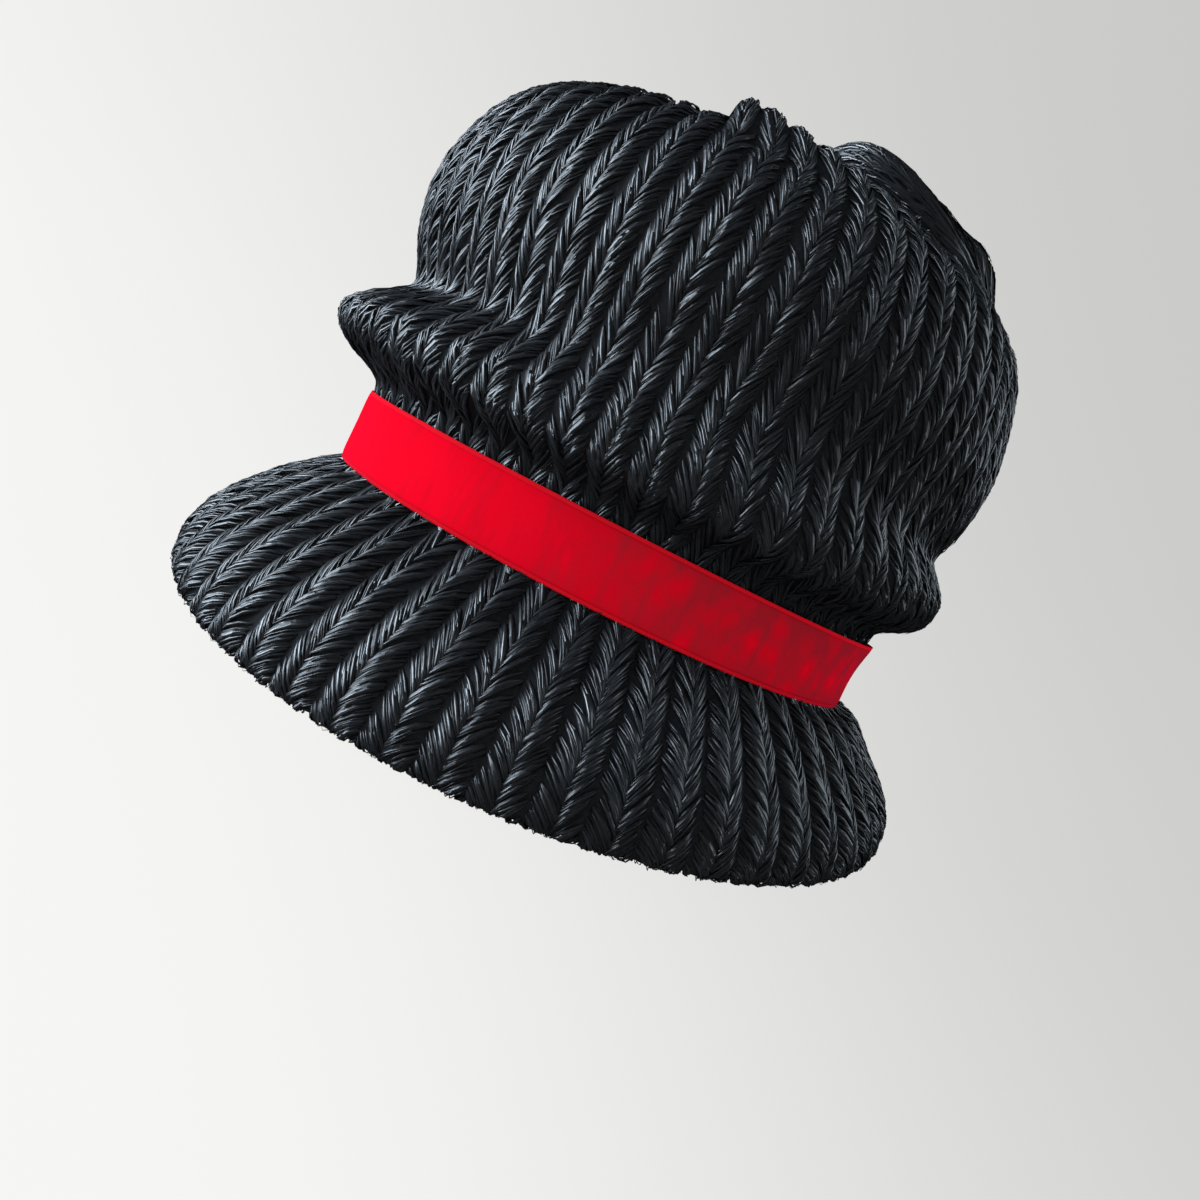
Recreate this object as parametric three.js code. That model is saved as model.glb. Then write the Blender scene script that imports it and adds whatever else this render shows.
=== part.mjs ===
// Bubble hat of black chevron straw: a bell brim, a ribbed crown that pouches over a velvet ribbon,
// and a crown tip drawn together in overlapping tucks round a small hollow.
// Millimetres, +Z up, front towards -Y. It stands on its brim edge, centred on the origin.
import * as THREE from 'three';

const { degToRad, smoothstep } = THREE.MathUtils;

// The head line is the oval ring where crown and brim are sewn together, behind the ribbon.
const HEAD_RADIUS = 90.6; // mean of the oval, outside the straw
const OVAL_ACROSS = 0.975; // width of the oval over its mean
const OVAL_ALONG = 1.025; // length of the oval over its mean
const HEAD_HEIGHT = 47.5; // middle of the ribbon above the table, on the crown's axis
const LEAN = degToRad(6.5); // the crown's axis leans back from upright
const SEAM_HEIGHT = -1; // seam of crown and brim, measured from the middle of the ribbon
const GAP = 0.3; // clearance between pieces that meet
const WALL = 3; // straw, from the mean of its ribs to the inside

// Ribbon
const RIBBON_WIDTH = 22;
const RIBBON_THICKNESS = 1;
const RIBBON_RADIUS = 91.4; // inside face, clear of the straw's ribs
const RIBBON_COLUMNS = 72;

// Ribs run from the edge of the brim to the head line, and from the head line to the tip.
const CROWN_RIBS = 58;
const BRIM_RIBS = 54;

// Brim: a bell from under the ribbon to a level edge
const RIM_RADIUS = 124; // mean of the oval
const FLARE_HEIGHT = -11.4; // where the bell starts, measured from the middle of the ribbon
const EDGE_ROUND = 0.5; // how far the edge is rounded off at the table

// Crown sections from the seam up to the tip. Height is from the middle of the ribbon, relief is the
// depth of the ribs, turn is how far the ribs swing round (degrees).
const CROWN_ROWS = table('height radius relief turn', [
  [SEAM_HEIGHT, HEAD_RADIUS, 0.8, 1.5],
  [11.4, HEAD_RADIUS, 0.8, 1.5],
  [14.6, 94, 1.6, 1.5],
  [19, 100.2, 2.4, 1.2],
  [25, 105.4, 2.8, 1],
  [31, 106.8, 2.8, 0.6],
  [37, 103, 2.4, 0.3],
  [44, 98, 2.2, 0],
  [52, 97.6, 2.6, 0],
  [73, 101.5, 3, 0],
  [84, 100.7, 3, 0],
  [94, 97.3, 3, 0],
  [103, 92.6, 2.8, 0],
  [110, 86.5, 2.6, 0],
  [113, 82, 2.4, -0.5],
  [114.6, 78.5, 2.4, -1],
  [115.6, 75, 2.3, -2.5],
  [116.6, 70, 2.2, -5],
  [117.4, 64, 2, -9],
  [117.8, 57, 1.8, -14],
  [117.2, 47, 1.5, -22],
  [115.8, 35, 1.1, -32],
  [113.8, 22, 0.7, -44],
  [111.4, 10, 0.3, -54],
  [110, 0, 0, -60],
]);
const INSIDE_ROWS = [0, 1, 3, 5, 7, 9, 11, 13, 15, 17, 19, 21, 24]; // sections that the inside follows

// Folds in the crown's wall: each is a soft dent or swelling, with its push outwards. Azimuth is in
// degrees from the front towards +X, spread is its half width in degrees and reach its half height.
const CROWN_FOLDS = table('azimuth spread height reach push', [
  [-55, 50, 30, 10, 3.5], // pouch, front and right of the wearer
  [-40, 45, 46, 8, -4.5], // crease above that pouch
  [-50, 45, 104, 16, 1], // full shoulder over it
  [36, 30, 44, 9, 3], // the crease fades on this stretch
  [28, 50, 18.5, 4, 4.5], // full roll over the ribbon
  [104, 35, 29, 9, -2], // flatter pouch on the other side
  [106, 30, 42, 6, -2], // its crease
  [104, 40, 57, 9, 2],
  [104, 40, 86, 14, -1.8],
  [190, 45, 46, 8, -3], // crease behind
  [215, 40, 29, 10, 2],
]);
const SHOULDER_RADIUS = 85; // folds have their full push outside this radius
const TOP_RADIUS = 62; // and none inside this one

// Tucks of the tip, in order of azimuth: each stands proud along its start, leans over the one before by
// some degrees and slopes to the next with the power fall. Along a section it rises to its lip and sinks
// behind it; lip and floor are radii.
const TIP_TUCKS = table('start lift lean fall lip floor', [
  [7, 8.5, 2, 1.3, 78.5, 66],
  [52, 13.5, 13, 3, 68, 5],
  [134, 7, 4, 3, 64, 25],
  [182, 6, 4, 3, 64, 25],
  [228, 7, 4, 3, 64, 25],
  [275, 5, 3, 3, 64, 25],
  [322, 0.5, 0, 3, 64, 25],
]);
const TUCK_FOOT = 87; // radius where the tucks start to rise
const TUCK_EDGE = 0.14; // share of a tuck's width taken by its steep start

// Brim sections round its wall, from the table up the outside and down the inside. Share runs from 0 at
// the top of the bell to 1 at the edge, rise is above the top of the bell, depth is below the outside.
const BRIM_UPSTAND = SEAM_HEIGHT - GAP - FLARE_HEIGHT;
const BRIM_ROWS = table('share rise depth relief', [
  [1, 0, EDGE_ROUND, 2],
  [0.95, 0, 0, 2.6],
  [0.8, 0, 0, 2.8],
  [0.58, 0, 0, 2.8],
  [0.36, 0, 0, 2.6],
  [0.17, 0, 0, 2.2],
  [0.05, 0, 0, 1.6],
  [0, 0, 0, 0.8],
  [0, BRIM_UPSTAND, 0, 0.8],
  [0, BRIM_UPSTAND, WALL, 0],
  [0, 0, WALL, 0],
  [0.25, 0, WALL, 0],
  [0.62, 0, WALL, 0],
  [1, 0, WALL - EDGE_ROUND, 0],
]);

const straw = new THREE.MeshStandardMaterial({ color: 0x16181b, roughness: 0.38, metalness: 0 });
const velvet = new THREE.MeshStandardMaterial({ color: 0xc40d1c, roughness: 0.9, metalness: 0 });

// Rows of a table as objects with the columns' names
function table(columns, rows) {
  const names = columns.split(' ');
  return rows.map((row) => Object.fromEntries(names.map((name, i) => [name, row[i]])));
}

// Bell curve: 1 at its middle, and 1/e at one spread from it
function bell(distance, spread) {
  return Math.exp(-((distance / spread) ** 2));
}

// Degrees from one azimuth to another, the short way round
function shortWay(from, to) {
  return ((((to - from + 180) % 360) + 360) % 360) - 180;
}

// Ridge and groove by turns: each rib has one column of points on its ridge and one in its groove
function ribWave(column) {
  return column % 2 === 0 ? 0.5 : -0.5;
}

// Push of all the folds at one azimuth of a crown section
function foldPush(azimuth, row) {
  const fade = smoothstep(row.radius, TOP_RADIUS, SHOULDER_RADIUS);
  return CROWN_FOLDS.reduce((push, fold) => {
    const across = bell(shortWay(fold.azimuth, azimuth), fold.spread);
    return push + fade * fold.push * across * bell(row.height - fold.height, fold.reach);
  }, 0);
}

// Lift and lean of the tuck that holds an azimuth: a steep start and a slope down to the next, and along
// the section a rise to its lip and a fall behind it
function tuckAt(azimuth, radius) {
  const tucks = TIP_TUCKS.map(({ start, lift, lean, fall, lip, floor }, i) => {
    const next = TIP_TUCKS[(i + 1) % TIP_TUCKS.length];
    const width = (next.start - start + 360) % 360;
    const share = ((azimuth - start + 360) % 360) / width;
    const slope = Math.max(1 - share ** fall, 0) * smoothstep(share, 0, TUCK_EDGE);
    const rise = slope * (1 - smoothstep(radius, lip, TUCK_FOOT)) * smoothstep(radius, floor, lip);
    return { lift: lift * rise, lean: lean * rise };
  });
  return tucks.reduce((highest, tuck) => (tuck.lift > highest.lift ? tuck : highest));
}

// A point on a ring of the head line's oval, in the frame of the crown's axis
function ovalPoint(radius, azimuth, height) {
  const angle = degToRad(azimuth);
  return new THREE.Vector3(
    OVAL_ACROSS * radius * Math.sin(angle),
    -OVAL_ALONG * radius * Math.cos(angle),
    height,
  );
}

// A closed wall: a section carried round in columns, each point set by place(section row, column)
function wall(section, columns, place) {
  const profile = section.map((row, i) => new THREE.Vector2(1, i));
  const geometry = new THREE.LatheGeometry(profile, columns);
  const points = geometry.getAttribute('position');
  for (let i = 0; i < points.count; i += 1) {
    const column = Math.floor(i / section.length) % columns;
    const point = place(section[i % section.length], column);
    points.setXYZ(i, point.x, point.y, point.z);
  }
  geometry.computeVertexNormals();
  return geometry;
}

// Outward direction at each point of a crown section, from the points either side of it
function sectionNormals(points) {
  const last = points.length - 1;
  return points.map((point, i) => {
    const below = points[Math.max(i - 1, 0)];
    const above = points[Math.min(i + 1, last)];
    const across = new THREE.Vector2(above.y - below.y, below.x - above.x);
    return i === last ? new THREE.Vector2(0, 1) : across.normalize();
  });
}

// Crown section at one azimuth, without ribs: radius and height of each row, with its folds and tucks
function crownSection(azimuth) {
  const tucks = CROWN_ROWS.map((row) => tuckAt(azimuth, row.radius));
  const points = CROWN_ROWS.map((row, i) => (
    new THREE.Vector2(row.radius + foldPush(azimuth, row), row.height + tucks[i].lift)
  ));
  return { azimuth, tucks, points, normals: sectionNormals(points) };
}

// Crown: inside from the tip down to the seam, then outside with its ribs from the seam up to the tip
function crownGeometry() {
  const columns = 2 * CROWN_RIBS;
  const sections = Array.from({ length: columns }, (_, column) => crownSection((360 * column) / columns));
  const outside = CROWN_ROWS.map((row, i) => ({ i, depth: 0, relief: row.relief }));
  const inside = INSIDE_ROWS.map((i) => ({ i, depth: WALL, relief: 0 }));
  return wall([...inside.reverse(), ...outside], columns, ({ i, depth, relief }, column) => {
    const { azimuth, tucks, points, normals } = sections[column];
    const point = points[i].clone().addScaledVector(normals[i], relief * ribWave(column) - depth);
    const lean = depth > 0 ? 0 : tucks[i].lean; // only the outside leans over
    return ovalPoint(point.x, azimuth + CROWN_ROWS[i].turn - lean, point.y);
  });
}

// Brim: at each azimuth a quarter sine wave swings out from the leaning head line to the level edge,
// and a short upstand carries it up to the seam
function brimGeometry(headMatrix) {
  const columns = 2 * BRIM_RIBS;
  return wall([...BRIM_ROWS, BRIM_ROWS[0]], columns, (row, column) => {
    const azimuth = (360 * column) / columns;
    const swell = row.relief * ribWave(column) - row.depth;
    if (row.rise > 0) {
      return ovalPoint(HEAD_RADIUS + swell, azimuth, FLARE_HEIGHT + row.rise).applyMatrix4(headMatrix);
    }
    const top = ovalPoint(HEAD_RADIUS, azimuth, FLARE_HEIGHT).applyMatrix4(headMatrix);
    const edge = ovalPoint(RIM_RADIUS, azimuth, 0);
    const bend = (row.share * Math.PI) / 2;
    const run = (Math.PI / 2) * Math.cos(bend) * Math.hypot(edge.x - top.x, edge.y - top.y);
    const slope = Math.atan2(run, top.z);
    const outwards = ovalPoint(1, azimuth, 0).normalize();
    const point = top.clone().lerp(edge, Math.sin(bend)).addScaledVector(outwards, swell * Math.cos(slope));
    return point.setZ(top.z * (1 - row.share) + swell * Math.sin(slope));
  });
}

// Ribbon: a flat band round the head line
function ribbonGeometry() {
  const outer = RIBBON_RADIUS + RIBBON_THICKNESS;
  const half = RIBBON_WIDTH / 2;
  const corners = [[outer, -half], [outer, half], [RIBBON_RADIUS, half], [RIBBON_RADIUS, -half]];
  return wall([...corners, corners[0]], RIBBON_COLUMNS, ([radius, height], column) => (
    ovalPoint(radius, (360 * column) / RIBBON_COLUMNS, height)
  ));
}

function named(name, geometry, material) {
  const mesh = new THREE.Mesh(geometry, material);
  mesh.name = name;
  return mesh;
}

// Crown and ribbon lean back together, on an axis that meets the table at the middle of the brim's edge.
const head = new THREE.Group();
head.rotation.x = -LEAN;
head.position.set(0, HEAD_HEIGHT * Math.tan(LEAN), HEAD_HEIGHT);
head.updateMatrix();
head.add(named('crown', crownGeometry(), straw));
head.add(named('band', ribbonGeometry(), velvet));

const hat = new THREE.Group();
hat.add(head);
hat.add(named('brim', brimGeometry(head.matrix), straw));

export default hat;
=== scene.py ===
# Bubble hat of black chevron straw with a red velvet ribbon.
# Shapes are worked out in millimetres and put into the meshes in metres.
# Azimuth is in degrees from the front of the hat (-Y) towards +X.
import bpy
import numpy as np
from mathutils import Matrix


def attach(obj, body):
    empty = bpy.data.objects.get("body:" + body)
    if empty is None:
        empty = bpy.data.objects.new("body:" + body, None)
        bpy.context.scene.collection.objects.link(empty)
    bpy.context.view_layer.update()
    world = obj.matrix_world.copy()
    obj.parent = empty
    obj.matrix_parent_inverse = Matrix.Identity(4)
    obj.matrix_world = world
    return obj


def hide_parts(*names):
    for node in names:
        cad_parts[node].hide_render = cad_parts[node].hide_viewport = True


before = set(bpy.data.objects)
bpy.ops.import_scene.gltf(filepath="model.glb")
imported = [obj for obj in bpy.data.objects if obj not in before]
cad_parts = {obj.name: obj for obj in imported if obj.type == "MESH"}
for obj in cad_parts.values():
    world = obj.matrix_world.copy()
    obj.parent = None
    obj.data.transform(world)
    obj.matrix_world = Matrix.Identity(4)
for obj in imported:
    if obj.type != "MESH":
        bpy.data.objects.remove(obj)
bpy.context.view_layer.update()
scene = bpy.context.scene
rng = np.random.default_rng(58)
mm = 0.001  # a millimetre in metres

# sizes that crown, brim and ribbon share
head = dict(
    radius=90.6,  # mean of the oval head line, outside the straw
    across=0.975,  # share of that radius from side to side
    along=1.025,  # and from front to back
    height=47.5,  # middle of the ribbon above the floor
    lean=np.radians(6.5),  # the crown's axis leans back
    seam=-1.0,  # seam of crown and brim, from the middle of the ribbon
    wall=3.0,
    ridge=1.5,  # power that makes the ridge of a rib narrow
    chevron=1.2,  # power that bends the chevron inside the hat
)


def unit(v):  # vectors scaled to length one
    return v / np.maximum(np.linalg.norm(v, axis=-1, keepdims=True), 1e-9)


def smoothStep(x, low, high):  # 0 below low, 1 above high, a smooth S between
    t = np.clip((x - low) / (high - low), 0, 1)
    return t * t * (3 - 2 * t)


def hump(x, spread, y, reach):  # 1 in the middle, a bell curve both ways
    return np.exp(-((x / spread) ** 2) - (y / reach) ** 2)


def rowCurve(knots, values, at):
    # smooth curve through a column of rows: cubic pieces, each row's slope taken from the rows beside it
    slope = np.gradient(values, knots)
    i = np.clip(np.searchsorted(knots, at, side="right") - 1, 0, len(knots) - 2)
    width = knots[i + 1] - knots[i]
    t = np.clip((at - knots[i]) / width, 0, 1)
    rise = values[i] * (2 * t**3 - 3 * t**2 + 1) + values[i + 1] * (3 * t**2 - 2 * t**3)
    return rise + width * (slope[i] * (t**3 - 2 * t**2 + t) + slope[i + 1] * (t**3 - t**2))


def turnFrom(azimuth, middle):  # turn from the middle, -180 to 180
    return (azimuth - middle + 180) % 360 - 180


def acrossRib(azimuth, ribs):  # place across a rib, -0.5 to 0.5
    return (azimuth * ribs / 360 + 0.5) % 1 - 0.5


def ribShape(w):  # rib with a narrow ridge: half up on it (w 0), half down in its grooves (w +-0.5)
    return 0.5 - np.abs(2 * w) ** head["ridge"]


def ovalRing(radius, azimuth, height):  # points of the head line's oval, on the crown's axis
    a = np.radians(azimuth)
    x = head["across"] * radius * np.sin(a)
    y = -head["along"] * radius * np.cos(a)
    return np.stack(np.broadcast_arrays(x, y, height), -1)


def leanBack(p):
    # from the crown's own axis to the hat's frame: a turn about X, then a lift to the head line
    c, s, h = np.cos(head["lean"]), np.sin(head["lean"]), head["height"]
    x, y, z = p[..., 0], p[..., 1], p[..., 2]
    return np.stack([x, c * y + s * z + h * s / c, c * z - s * y + h], -1)


def putMesh(name, points, quads, tris, material, uv=None, flat=None):
    # one mesh from whole arrays; uv is given for each point, flat for each face that isn't shaded smooth
    mesh = bpy.data.meshes.new(name)
    corners = np.concatenate([quads.ravel(), tris.ravel()]).astype(np.int32)
    sizes = np.concatenate([np.full(len(quads), 4), np.full(len(tris), 3)]).astype(np.int32)
    mesh.vertices.add(len(points))
    mesh.vertices.foreach_set("co", (points * mm).astype(np.float32).ravel())
    mesh.loops.add(len(corners))
    mesh.loops.foreach_set("vertex_index", corners)
    mesh.polygons.add(len(sizes))
    starts = np.concatenate([[0], np.cumsum(sizes)[:-1]]).astype(np.int32)
    mesh.polygons.foreach_set("loop_start", starts)
    mesh.polygons.foreach_set("loop_total", sizes)
    mesh.polygons.foreach_set("use_smooth", np.ones(len(sizes), bool) if flat is None else ~flat)
    if uv is not None:
        layer = mesh.uv_layers.new(name="OFBake")
        layer.uv.foreach_set("vector", uv[corners].astype(np.float32).ravel())
    mesh.update(calc_edges=True)
    mesh.validate()
    mesh.materials.append(material)
    piece = bpy.data.objects.new(name, mesh)
    scene.collection.objects.link(piece)
    triangles = 2 * len(quads) + len(tris)
    print("made", name, triangles, "triangles")
    return piece


def ringGrid(grid, closed):
    # faces of a grid of rows of rings; closed joins the last row to the first, or else both ends are poles
    rows, columns = grid.shape[:2]
    index = np.arange(rows * columns).reshape(rows, columns)
    if closed:
        index = np.concatenate([index, index[:1]])
    nextColumn = np.roll(index, -1, axis=1)
    quads = np.stack([index[:-1], nextColumn[:-1], nextColumn[1:], index[1:]], -1).reshape(-1, 4)
    points = grid.reshape(-1, 3)
    if closed:
        return points, quads, np.zeros((0, 3), int)
    low, high = len(points), len(points) + 1
    ends = np.stack([grid[0].mean(0), grid[-1].mean(0)])
    fanLow = np.stack([np.full(columns, low), nextColumn[0], index[0]], -1)
    fanHigh = np.stack([index[-1], nextColumn[-1], np.full(columns, high)], -1)
    return np.concatenate([points, ends]), quads, np.concatenate([fanLow, fanHigh])


def finishPiece(piece):  # every piece of the hat moves with its one body
    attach(piece, "root")
    return piece


# nodes that several materials use
def newMaterial(name):
    material = bpy.data.materials.new(name)
    material.use_nodes = True
    tree = material.node_tree
    return material, tree.nodes, tree.links, tree.nodes["Principled BSDF"]


def setFinish(shader, finish):  # fixed values of the shader, by the names of its sockets
    for socket, value in finish.items():
        shader.inputs[socket].default_value = value


def vectorNode(nodes, operation, second=None):
    node = nodes.new("ShaderNodeVectorMath")
    node.operation = operation
    if second is not None:
        node.inputs[1].default_value = second
    return node


def rangeNode(nodes, source, target, kind="LINEAR"):  # carries the source's range over to the target's
    node = nodes.new("ShaderNodeMapRange")
    node.interpolation_type = kind
    node.inputs["From Min"].default_value, node.inputs["From Max"].default_value = source
    node.inputs["To Min"].default_value, node.inputs["To Max"].default_value = target
    return node


def noiseNode(nodes, links, place, scale, detail=2.0):
    node = nodes.new("ShaderNodeTexNoise")
    node.inputs["Scale"].default_value = scale
    node.inputs["Detail"].default_value = detail
    links.new(place, node.inputs["Vector"])
    return node


def colourRamp(nodes, stops):
    ramp = nodes.new("ShaderNodeValToRGB")
    elements = ramp.color_ramp.elements
    while len(elements) < len(stops):
        elements.new(0.5)
    for element, (place, colour) in zip(elements, stops):
        element.position, element.color = place, (*colour, 1)
    return ramp


# camera: set about the middle of the ribbon, on the crown's axis, then swung round to the side
photoCamera = dict(
    distance=365.3,  # from the middle of the ribbon
    elevation=3.197, yaw=0.840, pitch=-2.736, roll=27.25, swing=24.0,  # degrees
    lens=32.4, sensor=36.0,
    near=0.01,  # metres
)


def placeCamera(c):
    # aims from elevation at the ribbon, turns by yaw and pitch, rolls, then swings round the hat
    e, roll, swing = np.radians(c["elevation"]), np.radians(c["roll"]), np.radians(c["swing"])
    spot = c["distance"] * np.array([0, -np.cos(e), np.sin(e)])
    forward, right = unit(-spot), np.array([1.0, 0, 0])
    up = np.cross(right, forward)
    forward = unit(forward + np.tan(np.radians(c["yaw"])) * right + np.tan(np.radians(c["pitch"])) * up)
    right = unit(np.cross(forward, up))
    up = np.cross(right, forward)
    right, up = np.cos(roll) * right + np.sin(roll) * up, np.cos(roll) * up - np.sin(roll) * right
    swung = np.array([[np.cos(swing), -np.sin(swing), 0], [np.sin(swing), np.cos(swing), 0], [0, 0, 1]])
    ends = leanBack(np.stack([spot, spot + right, spot + up, spot - forward]) @ swung.T)
    axes = ends[1:] - ends[0]
    data = bpy.data.cameras.new("photoCamera")
    data.sensor_fit, data.sensor_width, data.lens = "HORIZONTAL", c["sensor"], c["lens"]
    data.clip_start = c["near"]
    camera = bpy.data.objects.new("photoCamera", data)
    camera.matrix_world = Matrix([[*axes[:, i], ends[0, i] * mm] for i in range(3)] + [[0, 0, 0, 1]])
    scene.collection.objects.link(camera)
    scene.camera = camera
    return axes, ends[0]


cameraAxes, cameraSpot = placeCamera(photoCamera)
print("camera at", np.round(cameraSpot, 1), "mm")

# floor that sweeps up all round into a pale backdrop, and the air round it
studio = dict(
    flat=2000.0, sweep=2500.0, wall=1500.0,  # radius of the level floor and of its bend, height above that
    middle=20.0, flatRows=12, bendRows=24, columns=72,
    glow=(0.90, 0.58),  # light that the paper gives off by itself, lower to the right
    across=(0.94, 0.30),  # shares of right and up in the way it falls off
    fall=(-0.5, 0.6),  # where it starts and stops falling off
    finish={
        "Base Color": (0.015, 0.015, 0.0148, 1), "Roughness": 0.9, "Specular IOR Level": 0.0,
        "Emission Color": (1.0, 1.0, 0.985, 1),
    },
    air=(0.88, 0.94, 1.0, 1), airGlow=0.64,
)


def paperMaterial(s):
    # glow falls off across the view: by the share of right and up in the direction from the camera's place
    material, nodes, links, shader = newMaterial("palePaper")
    place = nodes.new("ShaderNodeTexCoord")
    away = vectorNode(nodes, "SUBTRACT", cameraSpot * mm)
    direction = vectorNode(nodes, "NORMALIZE")
    share = vectorNode(nodes, "DOT_PRODUCT", np.array(s["across"]) @ cameraAxes[:2])
    glow = rangeNode(nodes, s["fall"], s["glow"], "SMOOTHSTEP")
    links.new(place.outputs["Object"], away.inputs[0])
    links.new(away.outputs["Vector"], direction.inputs[0])
    links.new(direction.outputs["Vector"], share.inputs[0])
    links.new(share.outputs["Value"], glow.inputs["Value"])
    links.new(glow.outputs["Result"], shader.inputs["Emission Strength"])
    setFinish(shader, s["finish"])
    return material


def studioFloor(s):
    # profile turned about Z: level, then a quarter circle, then upright
    level = np.linspace(s["middle"], s["flat"], s["flatRows"])[:-1]
    bend = np.radians(np.linspace(0, 90, s["bendRows"]))
    swept = s["flat"] + s["sweep"] * np.sin(bend)
    radius = np.concatenate([level, swept, [s["flat"] + s["sweep"]]])[:, None]
    raised = s["sweep"] * (1 - np.cos(bend))
    height = np.concatenate([0 * level, raised, [s["sweep"] + s["wall"]]])[:, None]
    a = np.radians(360 * np.arange(s["columns"]) / s["columns"])
    grid = np.stack([radius * np.sin(a), radius * np.cos(a), height + 0 * a], -1)
    points, quads, tris = ringGrid(grid, False)
    tris = tris[: len(a)]  # only the middle of the floor is closed
    floor = putMesh("floor", points, quads[:, ::-1], tris[:, ::-1], paperMaterial(s))
    floor.visible_glossy = floor.visible_shadow = False  # light reaches the hat from all round


studioFloor(studio)
scene.world = scene.world or bpy.data.worlds.new("studioAir")
scene.world.use_nodes = True
airInputs = scene.world.node_tree.nodes["Background"].inputs
airInputs["Color"].default_value, airInputs["Strength"].default_value = studio["air"], studio["airGlow"]
scene.world.cycles_visibility.glossy = False  # only the lamps show in the gloss of the straw
scene.view_settings.view_transform = "Standard"

# lights, placed by right, up and towards the camera, in metres
lamps = dict(
    key=dict(
        place=(-0.72, 0.66, 0.08), distance=2.4, size=2.4, watts=94.0, tint=(0.79, 0.93, 1.07), gloss=True,
    ),
    side=dict(
        place=(0.90, 0.12, -0.40), distance=2.2, size=1.6, watts=10.0, tint=(0.82, 0.95, 1.06), gloss=True,
    ),
    fill=dict(
        place=(0.30, 0.20, 0.90), distance=2.2, size=1.2, watts=6.0, tint=(1.0, 1.0, 1.0), gloss=False,
    ),
)
lampAim = np.array([0.0, 0.0, 0.09])  # middle of the hat


def placeLamp(name, lamp):  # a square soft light aimed at the hat
    away = unit(np.array(lamp["place"])) @ cameraAxes
    spot = lampAim + lamp["distance"] * away
    right = unit(np.cross([0, 0, 1.0], away))
    up = np.cross(away, right)
    data = bpy.data.lights.new(name, "AREA")
    data.energy, data.size, data.color = lamp["watts"], lamp["size"], lamp["tint"]
    light = bpy.data.objects.new(name, data)
    light.matrix_world = Matrix([[right[i], up[i], away[i], spot[i]] for i in range(3)] + [[0, 0, 0, 1]])
    light.visible_camera, light.visible_glossy = False, lamp["gloss"]
    scene.collection.objects.link(light)


for lampName, lamp in lamps.items():
    placeLamp(lampName, lamp)
print("studio ready")

# glossy straw of the strands
strandLook = dict(
    tones=[(0.0, (0.008, 0.009, 0.0112)), (0.6, (0.0135, 0.015, 0.018)), (1.0, (0.021, 0.023, 0.027))],
    roughness=(0.42, 0.26),  # of the darkest and of the palest strands
    streaks=(700, 1.2, 0),  # how close they lie across and along a strand
    streakRange=(0.35, 0.65),
    shine=(0.3, 1.5),  # between the streaks and on them
    finish={"IOR": 1.75},
)


def strandMaterial(look):
    # tone along u of the map changes colour and gloss from strand to strand; fine streaks run along each
    material, nodes, links, shader = newMaterial("strawStrands")
    place = nodes.new("ShaderNodeUVMap")
    place.uv_map = "OFBake"
    split = nodes.new("ShaderNodeSeparateXYZ")
    colour = colourRamp(nodes, look["tones"])
    gloss = rangeNode(nodes, (0, 1), look["roughness"])
    links.new(place.outputs["UV"], split.inputs["Vector"])
    links.new(split.outputs["X"], colour.inputs["Fac"])
    links.new(split.outputs["X"], gloss.inputs["Value"])
    links.new(colour.outputs["Color"], shader.inputs["Base Color"])
    links.new(gloss.outputs["Result"], shader.inputs["Roughness"])
    spread = vectorNode(nodes, "MULTIPLY", look["streaks"])
    links.new(place.outputs["UV"], spread.inputs[0])
    streak = noiseNode(nodes, links, spread.outputs["Vector"], 1.0)
    shine = rangeNode(nodes, look["streakRange"], look["shine"])
    links.new(streak.outputs["Fac"], shine.inputs["Value"])
    links.new(shine.outputs["Result"], shader.inputs["Specular IOR Level"])
    setFinish(shader, look["finish"])
    return material


# straw between and behind the strands: darker with painted shade, duller, mottled
deepShadeLook = dict(
    tones=[(0.3, (0.006, 0.0067, 0.0082)), (0.7, (0.011, 0.0122, 0.0146))],
    mottle=900, detail=3,
    finish={"Roughness": 0.6, "Specular IOR Level": 0.12},
)


def deepShadeMaterial(look):  # colour by a fine noise, kept dark as painted shade
    material, nodes, links, shader = newMaterial("strawDeepShade")
    place = nodes.new("ShaderNodeTexCoord")
    noise = noiseNode(nodes, links, place.outputs["Object"], look["mottle"], look["detail"])
    colour = colourRamp(nodes, look["tones"])
    links.new(noise.outputs["Fac"], colour.inputs["Fac"])
    links.new(colour.outputs["Color"], shader.inputs["Base Color"])
    setFinish(shader, look["finish"])
    return material


# velvet of the ribbon; distances in metres, from the middle of the ribbon or from the hat's axis
velvetLook = dict(
    tones=[  # selvedge, fresh pile, crushed pile with painted shade, deepest marks with painted shade
        (0.0, (0.86, 0.010, 0.022)), (0.2, (0.74, 0.002, 0.014)), (0.42, (0.62, 0.003, 0.014)),
        (1.0, (0.36, 0.010, 0.020)),
    ],
    fresh=0.2,  # tone of the pile where it is neither crushed nor darkened by painted shade
    crushShadeSide=np.radians(80),  # azimuth of the side that is crushed and darkened with painted shade
    crushShadeReach=(0.02, 0.085),  # distances towards that side where the marks and painted shade begin and are full
    markScale=115, markSmooth=0.25, markRange=(0.12, 0.62), markDepth=0.75,
    strayScale=160, strayReach=0.007,  # noise that bends the marks
    upper=(-0.004, 0.009), upperDepth=0.3,  # the upper half is darker on that side
    creaseScale=(230, 230, 50), creaseRange=(0.5, 0.68),  # creases of painted shade stand across the ribbon
    creased=(-0.05, 0.06), creaseShadeDepth=0.12, creaseShadeMore=0.18,  # painted shade in the creases, deeper towards the shaded side
    selvedge=(0.0096, 0.0102),  # distances where it begins and is full
    pileScale=3500, pileDepth=0.5, bumpStrength=0.35, bumpDistance=0.0004,
    finish={
        "Roughness": 0.95, "Specular IOR Level": 0.0,
        "Sheen Weight": 0.25, "Sheen Roughness": 0.4, "Sheen Tint": (1.0, 0.03, 0.12, 1),
    },
)


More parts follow.
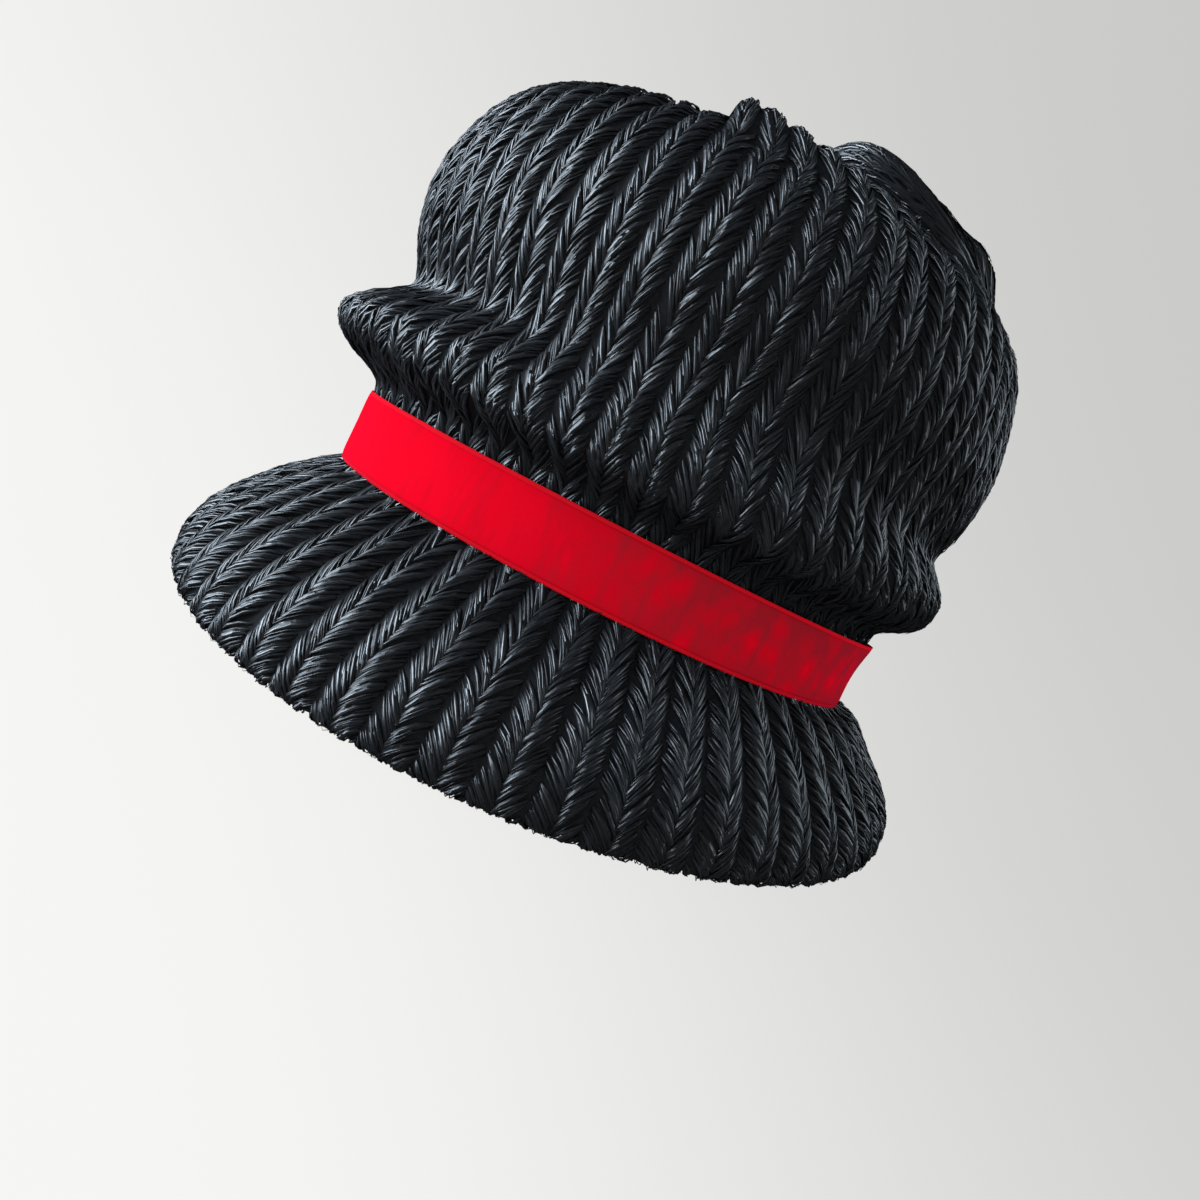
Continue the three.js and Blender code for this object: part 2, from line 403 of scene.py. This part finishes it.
def velvetMaterial(look):
    # tone runs from the selvedge along both edges, over fresh pile, to crushed pile: crushed marks and
    # painted shade darken one side, and creases all round carry painted shade, deeper there
    material, nodes, links, shader = newMaterial("redVelvet")
    place = nodes.new("ShaderNodeTexCoord").outputs["Object"]

    def share(direction, low, high):  # 0 to 1 along a direction of the hat, between two distances
        dot = vectorNode(nodes, "DOT_PRODUCT", direction)
        span = rangeNode(nodes, (low, high), (0, 1), "SMOOTHSTEP")
        links.new(place, dot.inputs[0])
        links.new(dot.outputs["Value"], span.inputs["Value"])
        return span.outputs["Result"]

    def joined(operation, first, second):
        node = nodes.new("ShaderNodeMath")
        node.operation = operation
        for socket, value in zip(node.inputs, (first, second)):
            if isinstance(value, float):
                socket.default_value = value
            else:
                links.new(value, socket)
        return node.outputs["Value"]

    def spread(value, low, high):  # 0 to 1 between two values of a texture
        ramp = colourRamp(nodes, [(low, (0.0,) * 3), (high, (1.0,) * 3)])
        links.new(value, ramp.inputs["Fac"])
        return ramp.outputs["Color"]

    middle = head["height"] / np.cos(head["lean"]) * mm  # of the ribbon, along the crown's axis
    axis = (0, np.sin(head["lean"]), np.cos(head["lean"]))
    sideways = (np.sin(look["crushShadeSide"]), -np.cos(look["crushShadeSide"]), 0)
    stray = noiseNode(nodes, links, place, look["strayScale"])
    bent = vectorNode(nodes, "MULTIPLY_ADD", (look["strayReach"],) * 3)
    links.new(stray.outputs["Color"], bent.inputs[0])
    links.new(place, bent.inputs[2])
    mark = nodes.new("ShaderNodeTexVoronoi")
    mark.feature = "SMOOTH_F1"
    mark.inputs["Scale"].default_value = look["markScale"]
    mark.inputs["Smoothness"].default_value = look["markSmooth"]
    links.new(bent.outputs["Vector"], mark.inputs["Vector"])
    marks = joined("MULTIPLY", spread(mark.outputs["Distance"], *look["markRange"]), look["markDepth"])
    upper = share(axis, *(middle + d for d in look["upper"]))
    marks = joined("ADD", marks, joined("MULTIPLY", upper, look["upperDepth"]))
    # crushed pile marks, with painted shade that darkens them towards one side
    crushAndShade = joined("MULTIPLY", marks, share(sideways, *look["crushShadeReach"]))
    # painted shade in creases across the ribbon
    tall = vectorNode(nodes, "MULTIPLY", look["creaseScale"])
    links.new(place, tall.inputs[0])
    crease = noiseNode(nodes, links, tall.outputs["Vector"], 1.0)
    deeper = joined("MULTIPLY", share(sideways, *look["creased"]), look["creaseShadeMore"])
    depth = joined("ADD", deeper, look["creaseShadeDepth"])
    creaseShade = joined("MULTIPLY", spread(crease.outputs["Fac"], *look["creaseRange"]), depth)
    crushAndShade = joined("ADD", crushAndShade, creaseShade)
    near, far = look["selvedge"]
    topEdge = share(axis, middle + near, middle + far)
    lowEdge = share(axis, middle - far, middle - near)
    inner = joined("MULTIPLY", joined("SUBTRACT", 1.0, topEdge), lowEdge)
    tone = joined("ADD", joined("MULTIPLY", crushAndShade, 1 - look["fresh"]), look["fresh"])
    colour = colourRamp(nodes, look["tones"])
    links.new(joined("MULTIPLY", tone, inner), colour.inputs["Fac"])
    links.new(colour.outputs["Color"], shader.inputs["Base Color"])
    pile = noiseNode(nodes, links, place, look["pileScale"])
    height = joined("ADD", joined("MULTIPLY", pile.outputs["Fac"], look["pileDepth"]), inner)
    bump = nodes.new("ShaderNodeBump")
    bump.inputs["Strength"].default_value = look["bumpStrength"]
    bump.inputs["Distance"].default_value = look["bumpDistance"]
    links.new(height, bump.inputs["Height"])
    links.new(bump.outputs["Normal"], shader.inputs["Normal"])
    setFinish(shader, look["finish"])
    return material


strawStrands, strawDeepShade = strandMaterial(strandLook), deepShadeMaterial(deepShadeLook)
redVelvet = velvetMaterial(velvetLook)
print("materials ready")

# crown: sections from the seam up to the tip, folds in its wall, and the tucks of its tip
crown = dict(
    ribs=58,
    rows=np.array([  # height, radius, relief, turn
        [-1, 90.6, 0.5, 1.5], [11.4, 90.6, 0.5, 1.5], [15.5, 91.6, 0.8, 1.5], [18.5, 95.6, 1.1, 1.4],
        [21.2, 100.8, 1.3, 1.2], [25, 105.2, 1.4, 1], [31, 106.8, 1.4, 0.6], [37, 103, 1.3, 0.3],
        [44, 98, 1.2, 0], [52, 97.6, 1.3, 0], [73, 101.5, 1.5, 0], [84, 100.7, 1.5, 0], [94, 97.3, 1.5, 0],
        [103, 92.6, 1.5, 0], [110, 86.5, 1.5, 0], [113, 82, 1.5, -0.5], [114.6, 78.5, 1.5, -1],
        [115.6, 75, 1.5, -2.5], [116.6, 70, 1.4, -5], [117.4, 64, 1.3, -9], [117.8, 57, 1.2, -14],
        [117.2, 47, 1.0, -22], [115.8, 35, 0.8, -32], [113.8, 22, 0.5, -44], [111.4, 10, 0.3, -54],
        [110, 0, 0, -60],
    ]),
    folds=[  # azimuth, spread, height, reach, push
        (-55, 50, 30, 10, 3.5), (-40, 45, 46, 8, -4.5), (-50, 45, 104, 16, 1), (36, 30, 44, 9, 3),
        (28, 50, 22.5, 4, 4), (104, 35, 29, 9, -2), (106, 30, 42, 6, -2), (104, 40, 57, 9, 2),
        (104, 40, 86, 14, -1.8), (190, 45, 46, 8, -3), (215, 40, 29, 10, 2),
        (93, 13, 111, 4, -5), (53, 3, 107, 9, -2.5),
    ],
    foldFade=(62, 85),  # radii where the folds begin and are full
    tucks=[  # start, lift, lean, fall, lip, floor
        (7, 10, 2, 0.65, 78.5, 66), (61, 15.5, 20, 3, 59, 5), (134, 7, 4, 3, 64, 25), (182, 6, 4, 3, 64, 25),
        (228, 7, 4, 3, 64, 25), (275, 5, 3, 3, 64, 25), (322, 0.5, 0, 3, 64, 25),
    ],
    dips=[  # in the tucks: azimuth, spread, radius, reach, depth
        (86, 8, 70, 10, 2.0), (94, 13, 81.5, 3.2, 5.5), (94, 13, 73.2, 4, -4.5),
    ],
    tuckFoot=87,  # radius where the tucks start to rise
    tuckEdge=0.14,  # share of a tuck's width taken by its steep start
    tuckLean=0.6,  # share of its rise from which a tuck leans fully
    sway=0.3,  # degrees that the ribs wander
    waves=[(1.0, 5, 19, 0), (0.7, 13, -11, 2)],  # of that wander: size, waves round, length, phase
    swayFoot=(5, 30), swayTip=(20, 70),  # distances from seam and tip where it begins and is full
    slopeStep=0.6,  # half of the stretch that a section's slope is taken over
)
crownHeight, crownRadius, crownRelief, crownTurn = crown["rows"].T
crownAlong = np.concatenate([[0], np.cumsum(np.hypot(np.diff(crownHeight), np.diff(crownRadius)))])
crownTop = crownAlong[-1]


def tuckAt(azimuth, radius):
    # lift and lean of the highest tuck: round the hat a steep start and a slope down to the next one,
    # along a section a rise to its lip and a fall behind it; dips hollow or raise the result
    starts = np.array([t[0] for t in crown["tucks"]])
    widths = np.diff(np.append(starts, starts[0] + 360))
    lift = lean = np.zeros(np.broadcast(azimuth, radius).shape)
    for (start, high, over, fall, lip, floor), width in zip(crown["tucks"], widths):
        share = ((azimuth - start) % 360) / width
        slope = np.maximum(1 - share**fall, 0) * smoothStep(share, 0, crown["tuckEdge"])
        section = (1 - smoothStep(radius, lip, crown["tuckFoot"])) * smoothStep(radius, floor, lip)
        leaning = over * smoothStep(slope, 0, crown["tuckLean"]) * section
        lean = np.where(high * slope * section > lift, leaning, lean)
        lift = np.maximum(lift, high * slope * section)
    for middle, spread, level, reach, depth in crown["dips"]:
        lift = lift - depth * hump(azimuth - middle, spread, radius - level, reach)
    return lift, lean


def crownWall(azimuth, along):  # radius, height and lean of the crown without its ribs
    radius, height = rowCurve(crownAlong, crownRadius, along), rowCurve(crownAlong, crownHeight, along)
    push = 0
    for middle, spread, level, reach, depth in crown["folds"]:
        push = push + depth * hump(turnFrom(azimuth, middle), spread, height - level, reach)
    lift, lean = tuckAt(azimuth, radius)
    return radius + smoothStep(radius, *crown["foldFade"]) * push, height + lift, lean


def ribSway(azimuth, along):  # ribs wander a little to either side: slow waves that die out at both ends
    a = np.radians(azimuth)
    waves = 0
    for size, count, length, phase in crown["waves"]:
        waves = waves + size * np.sin(count * a + along / length + phase)
    fade = smoothStep(along, *crown["swayFoot"]) * smoothStep(crownTop - along, *crown["swayTip"])
    return crown["sway"] * waves * fade


def crownPoint(azimuth, along, rise, leaning=1.0):
    # a point at a height above the crown's wall, square to its section
    azimuth, along, rise = np.broadcast_arrays(azimuth, along, rise)
    lowR, lowH, _ = crownWall(azimuth, along - crown["slopeStep"])
    highR, highH, _ = crownWall(azimuth, along + crown["slopeStep"])
    length = np.maximum(np.hypot(highR - lowR, highH - lowH), 1e-6)
    radius, height, lean = crownWall(azimuth, along)
    turned = azimuth + rowCurve(crownAlong, crownTurn, along) - leaning * lean + ribSway(azimuth, along)
    outR, outH = (highH - lowH) / length, (lowR - highR) / length
    return leanBack(ovalRing(np.maximum(radius + rise * outR, 0), turned, height + rise * outH))


def crownReliefAt(azimuth, along):  # height of the ribs, the same all round
    return rowCurve(crownAlong, crownRelief, along)


def crownHalfWidth(azimuth, along):  # of a rib
    return np.pi * rowCurve(crownAlong, crownRadius, along) / crown["ribs"]


crownSurface = dict(point=crownPoint, relief=crownReliefAt, halfWidth=crownHalfWidth, ribs=crown["ribs"])
crownBody = dict(
    perRib=6,  # columns
    rowGap=2.0, strandGap=3.3,  # outside from row to row, inside from strand to strand
    tipGap=(1.5, 2.5),  # last rows outside and inside, from the middle of the tip
    slant=1.7,  # of the chevron inside, for each half width of a rib
    crest=0.18, relief=0.5,  # height of a strand and share of the ribs' relief inside
    plain=(12, 20),  # stretches at seam and tip where the chevron dies out
)


def crownShell(c):
    # outside rows climb from seam to tip; inside rows follow the strands' chevron, high and low by turns
    columns = crown["ribs"] * c["perRib"]
    azimuth = 360 * np.arange(columns) / columns
    w = acrossRib(azimuth, crown["ribs"])
    along = np.linspace(0, crownTop - c["tipGap"][0], int(crownTop / c["rowGap"]))[:, None]
    outside = crownPoint(azimuth, along, crownReliefAt(azimuth, along) * ribShape(w))
    rows = np.linspace(crownTop - c["tipGap"][1], 0, int(crownTop / c["strandGap"] * 2))[:, None]
    rest = smoothStep(rows, 0, c["plain"][0]) * smoothStep(crownTop - rows, 0, c["plain"][1])
    slope = c["slant"] * crownHalfWidth(azimuth, rows)
    leaned = np.clip(rows - rest * slope * np.abs(2 * w) ** head["chevron"], 0, crownTop)
    crest = np.where(np.arange(len(rows)) % 2 == 0, c["crest"], -c["crest"])[:, None]
    relief = c["relief"] * crownReliefAt(azimuth, leaned) * ribShape(w)
    inside = crownPoint(azimuth, leaned, relief + crest * rest - head["wall"], leaning=0.0)
    points, quads, tris = ringGrid(np.concatenate([inside, outside]), False)
    return putMesh("crown_straw", points, quads, tris, strawDeepShade)


crownPiece = finishPiece(crownShell(crownBody))
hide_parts("crown")

# strands of crown and brim: flat strands, each with two thinner ones beside it, that run from a groove
# down to a ridge
strands = dict(
    kinds=np.array([  # shift along, half width, lift
        [0.0, 0.66, 0.10], [1.1, 0.42, 0.0], [-0.9, 0.17, 0.25],
    ]),
    run=12.0, runMost=2.4,  # length along the rib, and the most of it for each half width of the rib
    start=0.52, over=0.05,  # in rib widths: from the ridge at its start, over the ridge at its end
    power=1.4,  # bends its way across the rib
    stray=dict(  # how far bundles, and single strands in them, differ
        shift=(0.2, 0.25), slant=(0.15, 0.06), reach=(0.06, 0.04), bend=(0.2, 0), end=(0.05, 0),
        lift=(0.2, 0.1), roll=(15, 8), tone=(0.27, 0.2),
    ),
    thin=0.2, thinRoll=42,  # strands under this half width lie at all angles and glint
    slip=(0.6, 0.4),  # share of its shift at its ends, and what its middle has more
    half=0.3,  # how far half widths differ
    crest=(0.24, 0.14),  # height of the profile for each half width of it, and how far it differs
    tone=0.5,  # middle of the tones
    missing=0.08,  # share of strands that is left out
    shortest=0.12,  # share that must be left of a strand that is cut off
    longest=(2.0, 3.0),  # times its run, and mm more: a strand that a tuck pulls past this is left out
    stations=np.array([0, 0.12, 0.35, 0.62, 0.86, 1.0]),
    taper=np.array([0, 0.85, 1.0, 0.9, 0.65, 0]),
    arch=np.array([-0.45, 0.1, 0.65, 0.65, 0.25, -0.4]),  # height over the rib along a strand
    mapWidth=0.004, mapEnds=(0.02, 0.96),  # half width of a strand in its map, its start and its length there
)


def strandMesh(name, spine, up, roll, half, high, tone, material):
    # flat tapered strands: a low three-sided profile carried along each spine, drawn to a point at both ends
    count, stations = spine.shape[:2]
    forward = unit(np.gradient(spine, axis=1))
    side = unit(np.cross(forward, up))
    top = np.cross(side, forward)
    c, s = np.cos(roll)[:, None, None], np.sin(roll)[:, None, None]
    side, top = c * side + s * top, c * top - s * side  # a strand may lie rolled over
    size = (half[:, None] * strands["taper"])[..., None]
    crest = spine + top * size * high[:, None, None]
    ring = np.stack([spine - side * size, crest, spine + side * size], 2)[:, 1:-1]
    inner = 3 * (stations - 2)
    points = np.concatenate([spine[:, :1], ring.reshape(count, inner, 3), spine[:, -1:]], 1)
    points[..., 2] = np.maximum(points[..., 2], 0)  # pressed flat on the floor
    k = np.arange(inner).reshape(-1, 3) + 1
    around = np.roll(k, -1, axis=1)
    quads = np.stack([k[:-1], around[:-1], around[1:], k[1:]], -1).reshape(-1, 4)
    first = np.stack([np.zeros(3, int), around[0], k[0]], -1)
    last = np.stack([k[-1], around[-1], np.full(3, inner + 1)], -1)
    base = (np.arange(count) * (inner + 2))[:, None, None]
    allQuads = (base + quads).reshape(-1, 4)
    allTris = (base + np.concatenate([first, last])).reshape(-1, 3)
    under = np.arange(len(allQuads) + len(allTris)) % 3 == 2  # the underside stays flat
    u = np.concatenate([[0], np.tile([-1, 0, 1], stations - 2), [0]]) * strands["mapWidth"]
    v = np.concatenate([[0], np.repeat(np.arange(1, stations - 1), 3), [stations - 1]]) / (stations - 1)
    v = strands["mapEnds"][0] + strands["mapEnds"][1] * v
    uv = np.stack([tone[:, None] + u, np.broadcast_to(v, (count, inner + 2))], -1)
    return putMesh(name, points.reshape(-1, 3), allQuads, allTris, material, uv.reshape(-1, 2), under)


def strandSet(ribs, count, side):
    # one row for each strand of one side of every rib: its rib, its place up the rib, and its own habits
    rib, bundle, kind = (a.ravel() for a in np.indices((ribs, count, len(strands["kinds"]))))
    bundleId = rib * count + bundle
    habits = ("shift", "slant", "lift", "reach", "bend", "roll", "tone", "end")
    own = {k: rng.uniform(-1, 1, ribs * count)[bundleId] for k in habits}
    single = {k: rng.uniform(-1, 1, len(rib)) for k in habits + ("half", "high", "stay")}
    return dict(rib=rib, bundle=bundle, kind=strands["kinds"][kind], side=side, own=own, single=single)


def ribUp(surface, azimuth, along, across, beside=0.04, above=0.5):
    # outward direction of the ribbed surface, from points a little to each side and up and down
    def onRib(turn, climb):
        rise = surface["relief"](azimuth, along + climb) * ribShape(across + turn)
        return surface["point"](azimuth + turn * 360 / surface["ribs"], along + climb, rise)

    return unit(np.cross(onRib(beside, 0) - onRib(-beside, 0), onRib(0, above) - onRib(0, -above)))


def strandPiece(name, s, surface, lowest, gap, cutOff, scale):
    # spine of each strand: across the rib by a power of what is left to run, a little over its ridge
    # at the end, along it evenly, arched over the rib; a strand that would run on past cutOff ends there
    own, single, stray, ribs = s["own"], s["single"], strands["stray"], surface["ribs"]

    def differ(habit):  # as its bundle does, and by itself
        return stray[habit][0] * own[habit] + stray[habit][1] * single[habit]

    shift, wide, height = s["kind"].T
    foot = lowest + gap * (s["bundle"] + 0.5 + stray["shift"][0] * own["shift"])
    most = strands["runMost"] * surface["halfWidth"](s["rib"] * 360 / ribs, foot)
    run = np.minimum(strands["run"], most) * (1 + differ("slant"))
    end = np.clip((foot + run - cutOff) / run, 0, 1)
    keep = (end > strands["shortest"]) & (single["stay"] > 2 * strands["missing"] - 1)
    t = strands["stations"] * end[:, None]
    bow = np.sin(np.pi * strands["stations"])
    start = (strands["start"] + differ("reach"))[:, None]
    power = (strands["power"] + differ("bend"))[:, None]
    over = (strands["over"] + differ("end"))[:, None]
    across = s["side"] * (start * (1 - t) ** power - over * t**4)
    slide = (scale * (shift + stray["shift"][1] * single["shift"]))[:, None]
    along = foot[:, None] + run[:, None] * (1 - t) + slide * (strands["slip"][0] + strands["slip"][1] * bow)
    azimuth = (s["rib"][:, None] + across) * 360 / ribs
    lift = strands["arch"] + (height + differ("lift"))[:, None] * bow
    rise = surface["relief"](azimuth, along) * ribShape(across) + lift * scale[:, None]
    azimuth, along, rise, across = azimuth[keep], along[keep], rise[keep], across[keep]
    spine = surface["point"](azimuth, along, rise)
    up = ribUp(surface, azimuth, along, across)
    loose = np.where(wide < strands["thin"], strands["thinRoll"], stray["roll"][1])
    roll = np.radians(stray["roll"][0] * own["roll"] + loose * single["roll"])[keep]
    half = (wide * scale * (1 + strands["half"] * single["half"]))[keep]
    high = (strands["crest"][0] + strands["crest"][1] * single["high"])[keep]
    tone = (strands["tone"] + differ("tone"))[keep]
    length = np.linalg.norm(np.diff(spine, axis=1), axis=2).sum(1)
    whole = length <= strands["longest"][0] * run[keep] + strands["longest"][1]
    return strandMesh(name, *(a[whole] for a in (spine, up, roll, half, high, tone)), strawStrands)


crownWeave = dict(
    parts=[  # name, first and last place along, gap
        ("lower", -2.0, 100.0, 3.0), ("upper", 100.0, crownTop - 6, 3.1),
    ],
    cutOff=10.0,  # strands end behind the ribbon
    fullWidth=5.2,  # half width of a rib whose strands have their full size
    sizes=(0.3, 1.1),  # least and most
)


def crownStrands(name, side, low, high, gap, c):  # smaller strands where the ribs draw together
    s = strandSet(crown["ribs"], int((high - low) / gap), side)
    scale = np.clip(crownHalfWidth(0, low + gap * s["bundle"]) / c["fullWidth"], *c["sizes"])
    return strandPiece(name, s, crownSurface, low, gap, c["cutOff"], scale)


for label, side in (("left", -1), ("right", 1)):
    for part, low, high, gap in crownWeave["parts"]:
        name = f"crown_strands_{label}_{part}"
        finishPiece(crownStrands(name, side, low, high, gap, crownWeave))

# tip: more strands where the ribs' own ones lie too far apart
tip = dict(
    patches=[  # first and last azimuth, first and last place along, columns, rows, slant
        (61.5, 73, 128, 172, 34, 8, 0.7),  # steep face of the highest tuck, along its rim
        (112, 135, 142, 194, 34, 9, 1.5),  # its fall
        (0, 354, 188, 203, 60, 4, 3.0),  # middle of the tip
    ],
    run=10.0, half=0.6,
    arch=0.7,  # share of the other strands' arch
    stagger=3.0,  # from column to column
    stray=dict(turn=0.15, shift=1.5, half=0.3, tone=0.4, roll=15),
    stop=0.5,  # from the middle of the tip
)


def tipStrands(c):
    # on each patch the spines run evenly up the crown, slanted to either side by turns, arched over the ribs
    spots = []
    for first, last, low, high, columns, rows, slant in c["patches"]:
        column, row = (a.ravel() for a in np.indices((columns, rows)))
        turn = np.where(column % 4 < 2, slant, -slant)
        foot = np.linspace(low, high, rows)[row] + c["stagger"] * (column % 2 - 0.5)
        spots.append(np.stack([np.linspace(first, last, columns)[column], foot, turn]))
    middle, foot, turn = np.concatenate(spots, 1)
    aside, shift, wide, crest, tone = rng.uniform(-1, 1, (5, len(middle)))
    stray, t = c["stray"], strands["stations"]
    azimuth = (middle + stray["turn"] * aside)[:, None] + turn[:, None] * (t - 0.5)
    along = (foot + stray["shift"] * shift)[:, None] + c["run"] * t
    along = np.minimum(along, crownTop - c["stop"])
    across = acrossRib(azimuth, crown["ribs"])
    rise = crownReliefAt(azimuth, along) * ribShape(across) + c["arch"] * strands["arch"]
    spine = crownPoint(azimuth, along, rise)
    up = ribUp(crownSurface, azimuth, along, across)
    roll = np.radians(stray["roll"] * wide)
    half = c["half"] * (1 + stray["half"] * wide)
    high = strands["crest"][0] + strands["crest"][1] * crest
    tone = strands["tone"] + stray["tone"] * tone
    return strandMesh("crown_strands_tip", spine, up, roll, half, high, tone, strawStrands)


finishPiece(tipStrands(tip))

# brim: a bell from under the ribbon to a level edge
brim = dict(
    ribs=54,
    edge=124.0, lip=2.55,  # radius and height of the edge where it starts to turn under
    round=1.5,  # radius of that turn
    flare=-11.4,  # top of the bell, from the middle of the ribbon
    relief=2.0, edgeRelief=1.0,  # height of the ribs, and at the edge
    edgeFade=(0, 9), topFade=(-4, 10),  # distances from edge and top where the relief begins and is full
    bulge=(108, 30, 2.4),  # azimuth, spread and height of a fuller side under the ribbon
    bulgePlace=(0.16, 0.16),  # its middle and reach, as shares of the way down
    bulgeFade=(0.03, 0.13),  # shares where it begins and is full
)


def brimEnds(azimuth):
    # top of the bell on the leaning head line, and the level edge where it starts to turn under
    top = leanBack(ovalRing(head["radius"], azimuth, brim["flare"]))
    return top, ovalRing(brim["edge"], azimuth, brim["lip"])


def brimLength(azimuth, chords=16):  # length of the bell's curve, as a sum of chords of a quarter sine wave
    top, edge = brimEnds(azimuth)
    step = top - edge
    share = np.linspace(0, 1, chords + 1).reshape((-1,) + (1,) * np.ndim(azimuth))
    outward = np.hypot(step[..., 0], step[..., 1]) * np.sin(share * np.pi / 2)
    return np.hypot(np.diff(outward, axis=0), np.diff(step[..., 2] * share, axis=0)).sum(0)


def brimPoint(azimuth, along, rise):
    # along is up from the edge: a bell that swings out by a quarter sine wave, fuller at one side;
    # below 0 it turns under round the edge
    azimuth, along, rise = np.broadcast_arrays(azimuth, along, rise)
    top, edge = brimEnds(azimuth)
    share = np.clip(1 - along / brimLength(azimuth), 0, 1)
    bend = share * np.pi / 2
    step = edge - top
    (middle, spread, full), (level, reach) = brim["bulge"], brim["bulgePlace"]
    bulge = full * hump(turnFrom(azimuth, middle), spread, share - level, reach)
    rise = rise + bulge * smoothStep(share, *brim["bulgeFade"])
    turn = np.maximum(-along, 0) / brim["round"]
    tilt = np.arctan2(np.pi / 2 * np.cos(bend) * np.hypot(step[..., 0], step[..., 1]), -step[..., 2]) - turn
    out = unit(ovalRing(1.0, azimuth, 0.0))
    point = top + step * np.sin(bend)[..., None]
    point = point + out * (rise * np.cos(tilt) + brim["round"] * (np.cos(turn) - 1))[..., None]
    point[..., 2] = top[..., 2] + step[..., 2] * share + rise * np.sin(tilt) - brim["round"] * np.sin(turn)
    point[..., 2] = np.maximum(point[..., 2], 0.02)  # just clear of the floor
    return point


def brimRelief(azimuth, along):  # ribs are lower under the ribbon and round the edge
    low = brim["edgeRelief"] + (brim["relief"] - brim["edgeRelief"]) * smoothStep(along, *brim["edgeFade"])
    return low * smoothStep(brimLength(azimuth) - along, *brim["topFade"])


def brimHalfWidth(azimuth, along):  # of a rib
    share = np.clip(1 - along / brimLength(azimuth), 0, 1)
    radius = head["radius"] + (brim["edge"] - head["radius"]) * np.sin(share * np.pi / 2)
    return np.pi * radius / brim["ribs"]


brimSurface = dict(point=brimPoint, relief=brimRelief, halfWidth=brimHalfWidth, ribs=brim["ribs"])
brimBody = dict(
    perRib=6, rows=36, turnRows=8,  # columns, rows up the bell, rows round its edge
    underFade=(-4.7, -2),  # places round the edge where the ribs begin and are full
    collar=3.0, seamGap=0.3,  # foot of the upstand above the bell's top, its head below the seam
    slant=0.16,  # of the chevron inside, as a share of the bell
    crest=0.15, relief=0.8,  # height of a strand and of a rib inside
    plain=(0.15, 0.12),  # shares at edge and top where the chevron dies out
)


def brimShell(c):
    # section round the wall: round the edge and up the outside, over the upstand behind the ribbon,
    # down the inside
    columns = brim["ribs"] * c["perRib"]
    azimuth = 360 * np.arange(columns) / columns
    w = acrossRib(azimuth, brim["ribs"])
    length = brimLength(azimuth)
    share = np.linspace(0, 1, c["rows"])[:, None]
    under = -np.pi * brim["round"] * np.linspace(1, 0, c["turnRows"])[:-1, None] + 0 * azimuth
    along = np.concatenate([under, share * length])
    relief = brimRelief(azimuth, along) * ribShape(w) * smoothStep(along, *c["underFade"])
    outside = brimPoint(azimuth, along, relief)
    collar = np.array([brim["flare"] + c["collar"], head["seam"] - c["seamGap"]])[:, None]
    upOut = leanBack(ovalRing(head["radius"] + 0 * azimuth, azimuth, collar))
    upIn = leanBack(ovalRing(head["radius"] - head["wall"] + 0 * azimuth, azimuth, collar[::-1]))
    back = share[:0:-1]
    rest = smoothStep(back, 0, c["plain"][0]) * smoothStep(1 - back, 0, c["plain"][1])
    crest = np.where(np.arange(len(back)) % 2 == 0, c["crest"], -c["crest"])[:, None] * rest
    leaned = np.clip(back - c["slant"] * (1 - np.abs(2 * w) ** head["chevron"]) * rest, 0, 1)
    inside = brimPoint(azimuth, leaned * length, crest - head["wall"] + c["relief"] * ribShape(w) * rest)
    points, quads, tris = ringGrid(np.concatenate([outside, upOut, upIn, inside]), True)
    return putMesh("brim_straw", points, quads, tris, strawDeepShade)


brimPiece = finishPiece(brimShell(brimBody))
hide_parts("brim")

brimWeave = dict(
    rows=29,  # bundles up a rib
    lowest=-16.0, cutOff=-4.0,  # strands go on under the edge
    topGap=1.0,  # from the highest bundle to the bell's top
    size=1.1,
)


def brimStrands(name, side, c):  # as many bundles on the deep front as behind, so further apart there
    s = strandSet(brim["ribs"], c["rows"], side)
    length = brimLength(s["rib"] * 360 / brim["ribs"])
    gap = (length - c["topGap"] - c["lowest"]) / c["rows"]
    scale = np.full(len(s["rib"]), c["size"])
    return strandPiece(name, s, brimSurface, c["lowest"], gap, c["cutOff"], scale)


for label, side in (("left", -1), ("right", 1)):
    finishPiece(brimStrands(f"brim_strands_{label}", side, brimWeave))

# ribbon: a flat velvet band round the head line
ribbon = dict(
    width=22.0, thick=1.0, inside=91.4,  # inside is its inner radius
    columns=480, across=12,
    wave=0.25, waves=[(0.4, 7, 0, 1), (0.35, 17, 3, 2), (0.25, 31, -5, 0)],  # size, waves round, skew, phase
    standSide=(100, 26),  # azimuth and spread of the side where the edges stand off
    stand=(2.2, 0.9, -0.4),  # there: upper edge, lower edge, all of it
    rounding=(0.35, 0.25), roundPower=8,  # of the edges outside and inside
)


def ribbonBand(r):
    # section carried round the oval: outer face with rounded edges, then inner face; slow waves lift both,
    # and both edges stand off a little at one side
    azimuth = 360 * np.arange(r["columns"]) / r["columns"]
    level = np.linspace(-0.5, 0.5, r["across"])[:, None]
    a = np.radians(azimuth)
    waves = sum(size * np.sin(count * a + skew * level + phase) for size, count, skew, phase in r["waves"])
    middle, spread = r["standSide"]
    upper, lower, whole = r["stand"]
    stand = upper * (level + 0.5) ** 3 + lower * (0.5 - level) ** 3 + whole
    off = r["wave"] * waves + stand * np.exp(-(((azimuth - middle) / spread) ** 2))
    edge = np.abs(2 * level) ** r["roundPower"]
    outer = r["inside"] + r["thick"] - r["rounding"][0] * edge + off
    inner = r["inside"] + r["rounding"][1] * edge + off
    face = ovalRing(outer, azimuth, level * r["width"])
    back = ovalRing(inner, azimuth, level * r["width"])[::-1]
    points, quads, tris = ringGrid(leanBack(np.concatenate([face, back])), True)
    return putMesh("ribbon", points, quads, tris, redVelvet)


ribbonPiece = finishPiece(ribbonBand(ribbon))
ribbonPiece.visible_glossy = False  # no red in the gloss of the straw
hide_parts("band")

print("done")
